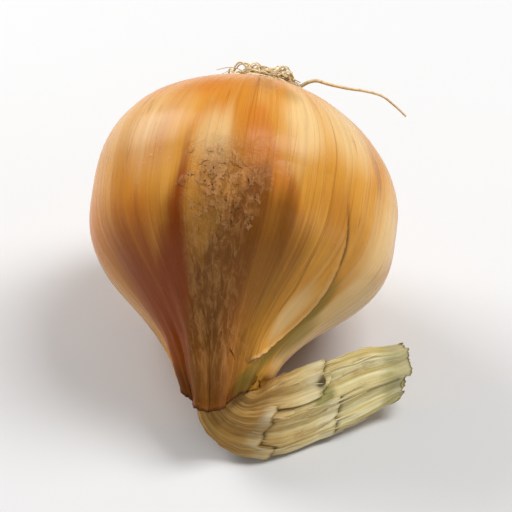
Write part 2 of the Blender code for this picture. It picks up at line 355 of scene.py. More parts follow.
class Finish:
    """One procedural material, built node by node round a Principled shader."""

    def __init__(self, name):
        self.material = bpy.data.materials.new(name)
        self.material.use_nodes = True
        self.tree = self.material.node_tree
        self.shader = self.tree.nodes["Principled BSDF"]

    def node(self, kind, **values):
        """A new node with these of its settings changed."""
        made = self.tree.nodes.new(kind)
        for key, value in values.items():
            setattr(made, key, value)
        return made

    def join(self, source, target):
        self.tree.links.new(source, target)

    def attribute(self, name):
        return self.node("ShaderNodeAttribute", attribute_name=name).outputs["Vector"]

    def parts(self, vector):
        split = self.node("ShaderNodeSeparateXYZ")
        self.join(vector, split.inputs[0])
        return list(split.outputs)

    def noise(self, place, scale, detail, roughness, offset=(0, 0, 0), distortion=0.0):
        """Noise over these places, finer along each axis by its scale."""
        mapping = self.node("ShaderNodeMapping")
        mapping.inputs["Scale"].default_value = scale
        mapping.inputs["Location"].default_value = offset
        self.join(place, mapping.inputs["Vector"])
        made = self.node("ShaderNodeTexNoise")
        made.inputs["Scale"].default_value = 1
        made.inputs["Detail"].default_value = detail
        made.inputs["Roughness"].default_value = roughness
        made.inputs["Distortion"].default_value = distortion
        self.join(mapping.outputs["Vector"], made.inputs["Vector"])
        return made.outputs["Fac"]

    def span(self, value, low, high, to_low=0.0, to_high=1.0):
        """A value carried smoothly from the first range to the second, and held past it."""
        made = self.node("ShaderNodeMapRange", interpolation_type="SMOOTHSTEP")
        for key, number in (("From Min", low), ("From Max", high),
                            ("To Min", to_low), ("To Max", to_high)):
            made.inputs[key].default_value = number
        self.join(value, made.inputs["Value"])
        return made.outputs["Result"]

    def math(self, operation, first, second=0.5):
        made = self.node("ShaderNodeMath", operation=operation)
        for socket, value in zip(made.inputs, (first, second)):
            if isinstance(value, (int, float)):
                socket.default_value = value
            else:
                self.join(value, socket)
        return made.outputs["Value"]

    def blend(self, share, first, second):
        """The first colour, with this share of it replaced by the second."""
        made = self.node("ShaderNodeMix", data_type="RGBA")
        for index, value in ((0, share), (6, first), (7, second)):
            if isinstance(value, (int, float, tuple)):
                made.inputs[index].default_value = value
            else:
                self.join(value, made.inputs[index])
        return made.outputs[2]

    def bump(self, height, strength, distance, before=None):
        made = self.node("ShaderNodeBump")
        made.inputs["Strength"].default_value = strength
        made.inputs["Distance"].default_value = distance
        self.join(height, made.inputs["Height"])
        if before:
            self.join(before, made.inputs["Normal"])
        return made.outputs["Normal"]


GOLD = paint(214, 150, 58)
DEEP_GOLD = paint(198, 126, 40)
AMBER = paint(184, 104, 30)
STRAW = paint(228, 182, 106)
LIGHT_STRAW = paint(238, 200, 136)
# Pale khaki of the skin, also used as painted highlight on the side that faces up.
PALE_SKIN_AND_HIGHLIGHT = paint(234, 200, 142)
ORANGE_SKIN_AND_SHADE = paint(198, 110, 30)
# Red-brown of the skin's own streak, also used as painted shade and reflected light low on the left.
RED_SKIN_AND_SHADE = paint(134, 46, 2)
# Brown of the skin, also used as painted shade towards the neck.
BROWN_SKIN_AND_SHADE = paint(112, 60, 8)
GREEN_SKIN = paint(128, 108, 34)
FILM_DARK = paint(112, 68, 26)
FILM_LIGHT = paint(190, 134, 78)
FILM_SPECK = paint(84, 46, 14)
DEAD_FLAKE = paint(206, 150, 98)
VEIN = paint(120, 62, 16)
FIBRE = paint(112, 58, 16)
# Dark of the dried edges, also used as painted shadow beside the split.
DRIED_RIM_AND_SHADE = paint(64, 32, 12)


def skin_finish(name):
    """Thin golden-brown skin: streaks, veins and fibres run from the root to the neck. The
    textures follow the turn round the axis, drawn out along it."""
    look = Finish(name)
    around = look.attribute("around")
    bands = look.noise(around, (1.8, 1.8, 0.6), 3, 0.5)
    streaks = look.noise(around, (9, 9, 0.5), 3, 0.55, (3, 0, 1))
    fibres = look.noise(around, (42, 42, 1.1), 3, 0.6, (0, 5, 2))
    hairs = look.noise(around, (110, 110, 2.0), 2, 0.6, (7, 0, 0))
    cloud = look.noise(around, (3, 3, 2), 4, 0.6)
    lines = look.noise(around, (13, 13, 0.36), 0, 0.5, (0, 9, 4))
    blotches = look.noise(around, (15, 15, 13), 5, 0.7, distortion=0.6)
    specks = look.noise(around, (40, 40, 30), 3, 0.7, (4, 4, 4))

    worn, red, pale = look.parts(look.attribute("zones"))
    green, rim_and_shade, scale = look.parts(look.attribute("tints"))
    orange, brown = look.parts(look.attribute("stains"))[:2]
    strokes = look.math(
        "ADD", look.math("MULTIPLY", streaks, 0.6), look.math("MULTIPLY", fibres, 0.4)
    )

    def uneven(mask, texture, amount, strength):
        """A mask that a texture makes stronger and weaker, most where it is half strong."""
        shifted = look.math("MULTIPLY", look.math("SUBTRACT", texture, 0.5), amount)
        return look.span(look.math("ADD", mask, shifted), 0.04, 1.0, 0, strength)

    colour = look.blend(look.span(bands, 0.35, 0.65), GOLD, DEEP_GOLD)
    colour = look.blend(look.span(cloud, 0.5, 0.75, 0, 0.3), colour, AMBER)
    colour = look.blend(look.span(streaks, 0.5, 0.75, 0, 0.28), colour, STRAW)
    colour = look.blend(look.span(hairs, 0.52, 0.72, 0, 0.14), colour, LIGHT_STRAW)
    # The pale tone is the skin's own and, on the side that faces up, painted highlight.
    colour = look.blend(uneven(pale, strokes, 0.7, 0.85), colour, PALE_SKIN_AND_HIGHLIGHT)
    # Orange of the skin, and low on the left partly painted shade and reflected light.
    colour = look.blend(uneven(orange, strokes, 0.9, 0.8), colour, ORANGE_SKIN_AND_SHADE)
    # The red-brown is the skin's own streak and, low on the left, painted shade and reflected light.
    colour = look.blend(uneven(red, strokes, 0.9, 0.9), colour, RED_SKIN_AND_SHADE)
    # The brown is the skin's own, and towards the neck partly painted shade.
    colour = look.blend(uneven(brown, strokes, 1.0, 0.86), colour, BROWN_SKIN_AND_SHADE)
    colour = look.blend(uneven(green, cloud, 0.6, 0.85), colour, GREEN_SKIN)
    film = uneven(worn, blotches, 1.5, 1.0)
    film_colour = look.blend(look.span(blotches, 0.40, 0.62), FILM_DARK, FILM_LIGHT)
    film_colour = look.blend(look.span(specks, 0.58, 0.66, 0, 0.6), film_colour, FILM_SPECK)
    colour = look.blend(look.math("MULTIPLY", film, 0.62), colour, film_colour)
    colour = look.blend(look.math("MULTIPLY", scale, 0.5), colour, DEAD_FLAKE)

    line_far = look.math("ABSOLUTE", look.math("SUBTRACT", lines, 0.5))
    vein = look.span(line_far, 0.0, 0.012, 1, 0)
    colour = look.blend(look.math("MULTIPLY", vein, 0.34), colour, VEIN)
    colour = look.blend(look.span(fibres, 0.46, 0.72, 0, 0.17), colour, FIBRE)
    # The dark rim colour is for dried edges, and also painted shadow beside the split.
    colour = look.blend(look.math("MULTIPLY", rim_and_shade, 0.85), colour, DRIED_RIM_AND_SHADE)
    look.join(colour, look.shader.inputs["Base Color"])

    rough = look.span(film, 0, 1, 0.27, 0.6)
    rough = look.math("ADD", rough, look.math("MULTIPLY", look.math("SUBTRACT", fibres, 0.5), 0.2))
    look.join(rough, look.shader.inputs["Roughness"])

    swell = look.math("ADD", look.math("MULTIPLY", fibres, 0.5), look.math("MULTIPLY", hairs, 0.2))
    swell = look.math("ADD", swell, look.math("MULTIPLY", vein, 0.2))
    normal = look.bump(swell, 0.22, 0.25 * MM)
    normal = look.bump(look.math("MULTIPLY", film, blotches), 0.5, 0.5 * MM, normal)
    look.join(normal, look.shader.inputs["Normal"])
    look.shader.inputs["Subsurface Weight"].default_value = 0.05
    look.shader.inputs["Subsurface Radius"].default_value = (1.0, 0.45, 0.16)
    look.shader.inputs["Subsurface Scale"].default_value = 2 * MM
    look.shader.inputs["Coat Weight"].default_value = 0.02
    look.shader.inputs["Coat Roughness"].default_value = 0.25
    look.shader.inputs["Specular IOR Level"].default_value = 0.14
    return look.material


onion_skin = skin_finish("onion_skin")

TURN_STEPS = 400
ROOT_STEPS = 66
NECK_STEPS = 128


def bulb_profile():
    """Radius and height from the recess at the root end, over the skin, into the socket."""
    points = [(0, RECESS_FLOOR), (RECESS_RADIUS, RECESS_FLOOR)]
    points.append((RECESS_RADIUS + 0.1 * MM, RECESS_RIM - 0.9 * MM))
    points.append((RECESS_RADIUS + 0.3 * MM, RECESS_RIM - 0.3 * MM))
    rim_angle = math.asin(RECESS_RIM / ROOT_END)
    for i in range(ROOT_STEPS):
        height = ROOT_END * math.sin(rim_angle * (1 - i / ROOT_STEPS))
        points.append((outline_radius(height), height))
    for i in range(NECK_STEPS + 1):
        height = -NECK_END * i / NECK_STEPS
        points.append((outline_radius(height), height))
    points.append((SOCKET_RADIUS + 0.4 * MM, -NECK_END))
    points.append((SOCKET_RADIUS, -NECK_END + 0.6 * MM))
    points.append((SOCKET_RADIUS, -SOCKET_FLOOR))
    points.append((0, -SOCKET_FLOOR))
    return points


def spin_solid(bm, profile, steps, merged):
    """Spin a line of (radius, height) points once round into a closed solid, and merge the
    points that lie closer together than this at its two ends."""
    line = [bm.verts.new((radius, 0, height)) for radius, height in profile]
    edges = [bm.edges.new(pair) for pair in zip(line, line[1:])]
    bmesh.ops.spin(
        bm, geom=line + edges, cent=(0, 0, 0), axis=(0, 0, 1),
        angle=2 * math.pi, steps=steps, use_merge=True,
    )
    bmesh.ops.remove_doubles(bm, verts=bm.verts, dist=merged)
    bmesh.ops.recalc_face_normals(bm, faces=bm.faces)


bm = bmesh.new()
spin_solid(bm, bulb_profile(), TURN_STEPS, 0.001 * MM)
notes = skin_notes(bm)
for vert in bm.verts:
    x, y, height = vert.co
    radius, turn = math.hypot(x, y), math.atan2(x, -y)
    on_skin = radius > 0.93 * outline_radius(height)
    if on_skin:
        point = skin_local(turn, height)
    else:
        shift = collar_shift(turn, height)
        point = Vector((x + neck_lean(shift - height), y, height - shift))
    mm, degrees = height / MM, math.degrees(turn)
    dark = smoothstep(NECK_END / MM - 1, NECK_END / MM, -mm)
    # Painted shadow on the skin just past the lifted edge of the loose outer skin.
    if 25 < degrees < 75 and -44 < mm < -6:
        beyond = beyond_split(degrees, mm)
        dark = max(dark, math.exp(-((beyond - 0.5) / 0.6) ** 2) * smoothstep(3, 14, -mm))
    note_skin(vert, notes, turn, height, rim_and_shade=dark)
    vert.co = LIE_DOWN @ point
    vert.co.z = max(vert.co.z, 0)
bulb_skin = new_object("bulb_skin", bm, [onion_skin])
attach(bulb_skin, "root")
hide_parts("bulb")


# Loose outer skin. The outermost dry skin has split down the right side. Its edge has
# curled a little off the skin below, from the widest section almost to the neck.
SKIN_THICKNESS = 0.13 * MM
SPLIT_WIDTH = 34
EDGE_CURL = 0.6
LIP_CURL = 0.5
# A fold that runs beside the edge, as (height in mm, turn in degrees).
SPLIT_FOLD = [(-45, 40), (-30, 42.9), (-26, 43.7), (-20, 41.4), (-10, 40), (5, 39)]


def smooth_place(points, share):
    """Place at a share of the way along a Catmull-Rom line through the points."""
    spans = len(points) - 1
    at = min(spans - 1e-6, max(0.0, share * spans))
    i = int(at)
    t = at - i
    b, c = Vector(points[i]), Vector(points[i + 1])
    a = Vector(points[i - 1]) if i > 0 else 2 * b - c
    d = Vector(points[i + 2]) if i + 2 <= spans else 2 * c - b
    return 0.5 * (2 * b + (c - a) * t + (2 * a - 5 * b + 4 * c - d) * t * t
                  + (3 * b - a - 3 * c + d) * t ** 3)


def thicken(bm, sheet_verts, thickness):
    """Make the open sheet that these vertices belong to a closed shell, by a copy of it that
    is moved back along the normals."""
    sheet = list(dict.fromkeys(face for vert in sheet_verts for face in vert.link_faces))
    for face in sheet:
        face.normal_update()
    for vert in sheet_verts:
        vert.normal_update()
    grown = bmesh.ops.extrude_face_region(bm, geom=sheet, use_keep_orig=True)["geom"]
    for vert in grown:
        if isinstance(vert, bmesh.types.BMVert):
            vert.co -= vert.normal * thickness


def thin_patch(bm, columns, rows, place, thickness):
    """A thin closed shell laid out by a rule: place(vert, u, v) sets each vertex of its
    sheet, with u and v from 0 to 1."""
    made = bmesh.ops.create_grid(bm, x_segments=columns, y_segments=rows, size=0.5)["verts"]
    for vert in made:
        place(vert, vert.co.x + 0.5, vert.co.y + 0.5)
    thicken(bm, made, thickness)


bm = bmesh.new()
notes = skin_notes(bm)


def place_split_skin(vert, u, v):
    turn_edge, mm = smooth_place(SPLIT_EDGE, v)
    ragged = 0.5 * noise.noise(Vector((mm * 0.9, 3, 1))) + 0.25 * noise.noise(Vector((mm * 3, 1, 7)))
    open_share = smoothstep(0.12, 0.5, v) * (1 - smoothstep(0.88, 1.0, v))
    degrees = turn_edge + ragged - SPLIT_WIDTH * (1 - u)
    turn, height = math.radians(degrees), mm * MM
    near_edge = smoothstep(0.5, 1.0, u)
    curl = open_share * (EDGE_CURL * near_edge + LIP_CURL * smoothstep(0.88, 1.0, u)) * MM
    fold = math.exp(-((degrees - mixed(SPLIT_FOLD, mm)) / 0.6) ** 2) * blob(0, mm, 0, -25, 1, 10)
    wrinkle = 0.05 * MM * noise.noise(Vector((degrees * 0.9, mm * 0.22, 4)))
    inside = smoothstep(0, 0.2, u) * smoothstep(0, 0.15, v) * (1 - smoothstep(0.93, 1, v))
    sunk = 0.3 * (1 - inside)
    lift = curl + 0.2 * MM * fold + wrinkle * near_edge + (0.05 - sunk) * MM
    dark = max(open_share * smoothstep(0.976, 0.995, u), 0.4 * fold)
    note_skin(vert, notes, turn, height, bare=0, rim_and_shade=dark)
    lip = open_share * smoothstep(0.86, 0.96, u)
    tones = vert[notes["zones"]]
    tones.z = max(tones.z, 0.5 * lip)
    vert.co = skin_point(turn, height, lift)


thin_patch(bm, 120, 240, place_split_skin, SKIN_THICKNESS)
bmesh.ops.recalc_face_normals(bm, faces=bm.faces)
split_skin = new_object("loose_outer_skin", bm, [onion_skin])
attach(split_skin, "root")


# Flakes. Small thin scales of dead skin, which have dried and lifted off the weathered patch
# that faces up. Each one is a ragged disc, tilted a little off the skin.
FLAKES = 90
FLAKE_SIZES = (0.3 * MM, 0.85 * MM)
FLAKE_THICKNESS = 0.05 * MM
FLAKE_GAP = 0.06 * MM
FLAKE_SIDES = 18
bm = bmesh.new()
notes = skin_notes(bm)
rng = random.Random(23)
for count in range(FLAKES):
    middle = math.radians(rng.gauss(-1, 5.5))
    height = rng.triangular(-24, 1, -11) * MM
    size = rng.uniform(*FLAKE_SIZES)
    long_way, turned = rng.uniform(0.6, 1.8), rng.uniform(0, 3)
    tilt = rng.uniform(0, 0.12) * MM
    tone = rng.uniform(0.1, 1)
    made = bmesh.ops.create_circle(bm, cap_ends=True, segments=FLAKE_SIDES, radius=1)["verts"]
    for vert in made:
        ragged = 1 + 1.3 * noise.noise(Vector((vert.co.x * 1.5, vert.co.y * 1.5, count)))
        ragged += 0.8 * noise.noise(Vector((vert.co.x * 4, vert.co.y * 4, count)))
        across = (vert.co.x * math.cos(turned) - vert.co.y * math.sin(turned)) * ragged * size
        along = (vert.co.x * math.sin(turned) + vert.co.y * math.cos(turned)) * ragged * size
        turn, place = middle + across / BULB_RADIUS, height + along * long_way
        note_skin(vert, notes, turn, place, scale=tone)
        vert.co = skin_point(turn, place, FLAKE_GAP + tilt * (1 + along / size))
    thicken(bm, made, -FLAKE_THICKNESS)
bmesh.ops.recalc_face_normals(bm, faces=bm.faces)
flakes = new_object("skin_flakes", bm, [onion_skin])
flakes.data.shade_flat()
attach(flakes, "root")


# Rim round the root plate. The skins end there in a ring of short torn points, which have
# dried and curl up towards the roots, every other one over its neighbours.
RIM_POINTS = 15
RIM_FOOT = 13.5 * MM
bm = bmesh.new()
notes = skin_notes(bm)
for order in range(RIM_POINTS):
    middle = 360 * order / RIM_POINTS + 5 * math.sin(7 * order)
    half = 13 + 4 * math.sin(3 * order)

    def place_rim_point(vert, u, v):
        side = 2 * u - 1
        degrees = middle + half * side * (1 - 0.35 * v)
        reach = 2.6 + 0.9 * math.sin(5 * order + 1) - 1.6 * abs(side) ** 1.5
        reach += 0.5 * noise.noise(Vector((degrees * 0.2, order, 9)))
        radius = RIM_FOOT - (RIM_FOOT - RIM_RADIUS + reach * 0.45 * MM) * v
        turn = math.radians(degrees)
        height = ROOT_END * math.sqrt(1 - min(1, radius / BULB_RADIUS) ** 2)
        lift = -0.3 + 0.45 * smoothstep(0, 0.5, v)
        lift += 0.8 * v * v * (0.6 + 0.4 * math.sin(2 * order)) + 0.12 * (order % 2)
        note_skin(vert, notes, turn, height, rim_and_shade=0.8 * smoothstep(0.9, 1.0, v))
        vert.co = skin_point(turn, height, lift * MM)

    thin_patch(bm, 16, 16, place_rim_point, SKIN_THICKNESS)
bmesh.ops.recalc_face_normals(bm, faces=bm.faces)
root_rim = new_object("root_rim", bm, [onion_skin])
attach(root_rim, "root")


# Withered stalk. Dead leaf sheaths, dried to fibrous straw, come out of the neck as a
# flattened bundle and fold over beside the bulb. They end in torn layers.
# These are its upper and lower edge past the neck, and how thick it is by its length, in mm.
STALK_UPPER = [(12.6, -37.0, 17.0), (15.8, -33.2, 16.0), (19.4, -28.8, 14.8),
               (25.4, -24.0, 14.0), (32.0, -19.8, 14.4), (39.3, -17.4, 14.2)]
STALK_LOWER = [(3.4, -44.9, 2.6), (10.0, -45.6, 1.5), (17.4, -42.6, 0.9),
               (25.2, -36.8, 1.6), (33.5, -30.8, 3.2), (40.8, -25.4, 5.4)]
THICK_STOPS = [(0, 5.0), (0.11, 4.6), (0.3, 3.0), (0.5, 2.7), (0.8, 2.0), (1, 1.4)]
STALK_LENGTH = 56 * MM
CORE_LENGTH = 0.975
STALK_SIDES = 160
STALK_RINGS = 216
LAID_OFF_FLOOR = 0.25 * MM


def beside_axis(across, out, lift):
    """Point at millimetres across, out along the neck, and up from the neck's middle."""
    middle = WIDEST_CENTRE + ACROSS * neck_lean(out * MM)
    return middle + (ACROSS * across - AXIS_UP * out + FACE_UP * lift) * MM


upper_line = [beside_axis(5.0, 41.8, 0), beside_axis(5.1, 43.4, 0.4),
              beside_axis(6.6, 46.0, 1.6), beside_axis(8.9, 46.2, 2.6)]
upper_line += [Vector(point) * MM for point in STALK_UPPER]
lower_line = [beside_axis(-5.0, 41.8, 0), beside_axis(-5.0, 45.5, 0),
              beside_axis(-4.6, 50.0, -0.9), beside_axis(-2.4, 54.6, -3.0)]
lower_line += [Vector(point) * MM for point in STALK_LOWER]


def stalk_point(share, angle, lift=0.0, fill=1.0):
    """Place at a share of the stalk's length and an angle round its flat section: 0 is the
    upper edge, a quarter turn the face seen from the front. Fill is 0 at its middle."""
    upper, lower = smooth_place(upper_line, share), smooth_place(lower_line, share)
    before, after = max(share - 0.02, 0), min(share + 0.02, 1)
    along = (smooth_place(upper_line, after) + smooth_place(lower_line, after)
             - smooth_place(upper_line, before) - smooth_place(lower_line, before)).normalized()
    broad = (upper - lower) / 2
    facing = along.cross(broad).normalized()
    thick = mixed(THICK_STOPS, share) * MM
    free = smoothstep(0.12, 0.3, share)
    across = math.cos(angle)
    puckered = 1 + free * 0.22 * noise.noise(Vector((across * 1.7, math.sin(angle) * 0.8, share * 5)))
    crease = free * 0.55 * MM * math.sin(7.5 * across + 2.2 * share + 0.4) * (1 - across ** 4)
    strand = noise.noise(Vector((across * 9, math.sin(angle) * 3, share * 4)))
    fibre = noise.noise(Vector((across * 30, math.sin(angle) * 9, share * 6)))
    pucker = noise.noise(Vector((across * 3, math.sin(angle) * 2, share * 26)))
    swell = (0.30 * strand + 0.13 * fibre + 0.22 * pucker) * free * MM
    outward = broad.normalized() * across + facing * math.sin(angle)
    deep = thick * puckered * math.sin(angle) + crease
    section = fill * (broad * across + facing * deep)
    return (upper + lower) / 2 + section + outward * (lift + swell * fill), along


def grain_notes(bm):
    """Layers for a vertex's place in the grain, and for its tones."""
    return note_layers(bm, ("grain", "stalk_tints"))


def note_grain(vert, notes, share, angle, tip=0.0, rim_and_shade=0.0, pale=0.0, layer=0.0):
    """Where a vertex lies along and round the stalk, and how green, dark or pale it is."""
    vert[notes["grain"]] = (math.cos(angle) + 3 * layer, math.sin(angle) * 0.4, share * 5)
    vert[notes["stalk_tints"]] = (tip, rim_and_shade, pale)


NECK_DULL = paint(158, 112, 48)
NECK_LIGHT = paint(192, 148, 76)
TIP_DULL = paint(212, 190, 122)
TIP_LIGHT = paint(246, 234, 184)
GROOVE = paint(132, 96, 44)
PALE_FIBRE = paint(236, 222, 172)
STAIN = paint(150, 104, 52)
OLIVE = paint(124, 122, 58)
PAPER = paint(238, 226, 190)
# Dark of the torn edges, also used as painted shade past the sheaths' ends and in the hole.
TORN_EDGE_AND_SHADE = paint(68, 50, 18)


def stalk_finish(name):
    """Dry fibrous straw: pale strands, brown grooves, olive towards the torn tip, dark at torn edges,
    and painted shade past the sheaths' ends and in the hole.
    """
    look = Finish(name)
    grain = look.attribute("grain")
    tip, rim_and_shade, pale = look.parts(look.attribute("stalk_tints"))
    strands = look.noise(grain, (7, 7, 0.5), 4, 0.6)
    fibres = look.noise(grain, (30, 30, 1.0), 3, 0.65, (3, 1, 0))
    stains = look.noise(grain, (1.6, 1.6, 1.4), 5, 0.65, (0, 7, 2))
    far = look.span(look.parts(grain)[2], 2.0, 4.4)
    dull = look.blend(far, NECK_DULL, TIP_DULL)
    light = look.blend(far, NECK_LIGHT, TIP_LIGHT)
    colour = look.blend(look.span(strands, 0.35, 0.68), dull, light)
    colour = look.blend(look.span(fibres, 0.5, 0.75, 0, 0.45), colour, GROOVE)
    colour = look.blend(look.span(fibres, 0.25, 0.45, 0.45, 0), colour, PALE_FIBRE)
    colour = look.blend(look.span(stains, 0.52, 0.72, 0, 0.5), colour, STAIN)
    wavy = look.math("ADD", tip, look.math("MULTIPLY", look.math("SUBTRACT", stains, 0.5), 0.9))
    colour = look.blend(look.span(wavy, 0.45, 1.1, 0, 0.7), colour, OLIVE)
    colour = look.blend(look.math("MULTIPLY", pale, 0.75), colour, PAPER)
    # Torn edges are dark, and the same colour is painted as shade past the sheaths' ends and in the
    # hole.
    colour = look.blend(look.math("MULTIPLY", rim_and_shade, 0.88), colour, TORN_EDGE_AND_SHADE)
    look.join(colour, look.shader.inputs["Base Color"])
    look.join(look.span(fibres, 0.3, 0.7, 0.62, 0.85), look.shader.inputs["Roughness"])
    swell = look.math("ADD", fibres, look.math("MULTIPLY", strands, 0.8))
    look.join(look.bump(swell, 0.5, 0.3 * MM), look.shader.inputs["Normal"])
    look.shader.inputs["Subsurface Weight"].default_value = 0.15
    look.shader.inputs["Subsurface Radius"].default_value = (1.0, 0.7, 0.3)
    look.shader.inputs["Subsurface Scale"].default_value = 1.5 * MM
    look.shader.inputs["Specular IOR Level"].default_value = 0.3
    return look.material


dry_stalk = stalk_finish("dry_stalk")

# The sheaths that lie over the bundle, outermost first on each side. Each one is its angles
# from and to in degrees, its shares of the stalk's length from and to, and how far off in mm.
SHEATHS = [
    (74, 206, 0.17, 0.545, 0.72),
    (-34, 80, 0.15, 0.735, 0.52),
    (92, 212, 0.42, 0.80, 0.30),
    (-42, 104, 0.60, 1.02, 0.22),
    (100, 222, 0.70, 1.0, 0.12),
    (196, 334, 0.17, 0.62, 0.35),
    (200, 322, 0.52, 1.01, 0.15),
]
TEAR_DEPTH = 0.024
SHADE_LENGTH = 0.013
SHADE_WIDTH = 3.5
# The hole torn in the front face, a shallow dent in the sheaths painted dark as its shade, as a share
# of the length and an angle in degrees.
HOLE_SHARE = 0.735
HOLE_ANGLE = 58


def sheath_end(order, degrees):
    """Share of the stalk's length at which a sheath's ragged end lies at this angle."""
    first, last, start, end, off = SHEATHS[order]
    u = (degrees - first) / (last - first)
    tear = noise.noise(Vector((u * 4, order, 1))) + 0.5 * noise.noise(Vector((u * 13, order, 6)))
    tear += 0.25 * noise.noise(Vector((u * 37, order, 4)))
    hangs_on_behind = order == 0
    if hangs_on_behind:
        end += 0.06 * smoothstep(126, 145, degrees)
    is_rounded_tip = end > 0.99
    if is_rounded_tip:
        end += 0.03 * math.sin(math.radians(degrees)) ** 2
    return end + TEAR_DEPTH * tear


def shade_below(order, degrees, share):
    """Dark just past the ragged ends of the sheaths that lie over this layer, and along the
    side edge at their larger angle. The order is None for the bundle below them all."""
    dark = 0.0
    for above, (first, last, start, end, off) in enumerate(SHEATHS):
        if order is not None and off <= SHEATHS[order][4]:
            continue
        turn = (degrees - first) % 360
        if turn < last - first:
            past = share - sheath_end(above, first + turn)
            dark = max(dark, math.exp(-(past / SHADE_LENGTH) ** 2) * (past > -0.02))
        beside = (degrees - last + 180) % 360 - 180
        if -2 < beside < 12:
            begun = smoothstep(start + 0.1, start + 0.2, share)
            along = begun * (1 - smoothstep(end - 0.03, end, share))
            dark = max(dark, 0.7 * math.exp(-(beside / SHADE_WIDTH) ** 2) * along)
    return dark


def torn_hole(degrees, share):
    """1 at the hole, where its shade is painted dark, fading out round it, and the same for the olive
    stain next to it.
    """
    past, beside = share - HOLE_SHARE, degrees - HOLE_ANGLE
    hole = min(1, 1.6 * math.exp(-(past / 0.024) ** 2 - (beside / 10) ** 2))
    stain = 1.3 * math.exp(-((past - 0.01) / 0.045) ** 2 - ((beside - 24) / 22) ** 2)
    return hole, stain


# A rod of radius and length 1 is spun first, and then each of its points is laid on the stalk.
bm = bmesh.new()
notes = grain_notes(bm)
rod = [(0, 0), (0.5, 0)]
rod += [(1, i / STALK_RINGS) for i in range(STALK_RINGS + 1)]
rod += [(0.5, 1), (0, 1)]
spin_solid(bm, rod, STALK_SIDES, 0.0001)
for vert in bm.verts:
    x, y, share = vert.co
    fill, angle = math.hypot(x, y), math.atan2(y, x)
    torn = smoothstep(0.9, 1.0, share)
    point, along = stalk_point(share * CORE_LENGTH, angle, -0.25 * MM * torn, fill)
    ragged = noise.noise(Vector((math.cos(angle) * 5, math.sin(angle) * 2, 8)))
    point += along * torn * (1.2 * math.sin(3 * angle + 0.8) + 1.3 * ragged) * MM
    point.z = max(point.z, 0)
    degrees = math.degrees(angle) % 360
    hole, stain = torn_hole(degrees, share)
    # Dark at the torn end, with painted shade past the sheaths' ends and beside their edges, and in
    # the torn hole.
    dark = max(smoothstep(0.985, 1, share), shade_below(None, degrees, share), hole)
    note_grain(vert, notes, share, angle, tip=max(smoothstep(0.86, 1, share), stain), rim_and_shade=dark)
    vert.co = point
core_tree = BVHTree.FromBMesh(bm)
stalk_core = new_object("stalk_core", bm, [dry_stalk])
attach(stalk_core, "root")
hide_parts("withered_stalk")


# Sheath layers. Thin torn sheaths lie over each other round the stalk, each one's ragged
# end a little off the next, and the last ones end in a torn, rounded tip.
SHEATH_THICKNESS = 0.16 * MM
bm = bmesh.new()
notes = grain_notes(bm)
for order, (first, last, start, end, off) in enumerate(SHEATHS):

    def place_sheath(vert, u, v):
        degrees = first + (last - first) * u
        degrees += 4 * noise.noise(Vector((v * 5, order, 3))) * abs(2 * u - 1)
        angle = math.radians(degrees)
        share = start + (sheath_end(order, degrees) - start) * v
        side = smoothstep(0.72, 1.0, abs(2 * u - 1))
        ending = smoothstep(0.86, 1.0, v)
        flutter = 0.5 + 0.5 * noise.noise(Vector((u * 6, v * 3, order + 9)))
        lift = off * smoothstep(0, 0.2, v) - 0.25 * (1 - smoothstep(0, 0.12, v))
        hole, stain = torn_hole(degrees, share)
        lift += 0.7 * ending * flutter + 0.22 * side * flutter - 0.7 * hole
        point, along = stalk_point(min(share, 1), angle, lift * MM)
        point += along * max(0, share - 1) * STALK_LENGTH
        point.z = max(point.z, LAID_OFF_FLOOR)
        torn_edge = 0.9 * smoothstep(0.975, 1, v) * (0.4 + 0.6 * smoothstep(0.9, 1, share))
        dried_band = smoothstep(0.8, 0.95, v) * (1 - smoothstep(0.965, 1, v))
        # The dark rim value holds painted shade past the ends of the sheaths above and in the torn
        # hole, and the dark torn edge itself.
        note_grain(
            vert, notes, share, angle,
            tip=max(smoothstep(0.86, 1.0, share), stain),
            rim_and_shade=max(shade_below(order, degrees, share), hole, torn_edge),
            pale=0.8 * dried_band * flutter,
            layer=order + 1,
        )
        vert.co = point

    thin_patch(bm, 66, 100, place_sheath, SHEATH_THICKNESS)
sheath_tree = BVHTree.FromBMesh(bm)
bmesh.ops.recalc_face_normals(bm, faces=bm.faces)
sheaths = new_object("stalk_sheaths", bm, [dry_stalk])
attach(sheaths, "root")


# Slivers. Narrow strips that have split off the sheaths lengthwise. They still hang on by
# their foot, lie along the stalk, more of them on its front face, and taper to a point.
SLIVERS = 40
SLIVER_THICKNESS = 0.1 * MM
bm = bmesh.new()
notes = grain_notes(bm)
rng = random.Random(5)
for order in range(SLIVERS):
    start = rng.uniform(0.42, 0.84)
    in_front, anywhere = rng.uniform(20, 170), rng.uniform(0, 360)
    angle = math.radians(rng.choice((in_front, anywhere)))
    length, wide = rng.uniform(0.06, 0.14), rng.uniform(0.03, 0.08)
    raised, bend, pallor = rng.uniform(0.1, 0.7), rng.uniform(-0.12, 0.12), rng.uniform(0, 0.45)

    def place_sliver(vert, u, v):
        here = angle + (u - 0.5) * wide * (1 - 0.9 * v * v) + bend * v * v
        share = start + length * v + 0.006 * noise.noise(Vector((u * 4, order, 2)))
        lift = 0.55 + raised * smoothstep(0.2, 1, v) - 0.6 * (1 - smoothstep(0, 0.25, v))
        point, along = stalk_point(min(share, 1), here, lift * MM)
        point.z = max(point.z, LAID_OFF_FLOOR)
        olive = 0.6 * smoothstep(0.88, 1, share)
        note_grain(vert, notes, share, here, pale=pallor, tip=olive, layer=order)
        vert.co = point

    thin_patch(bm, 2, 12, place_sliver, SLIVER_THICKNESS)
bmesh.ops.recalc_face_normals(bm, faces=bm.faces)
slivers = new_object("stalk_slivers", bm, [dry_stalk])
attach(slivers, "root")


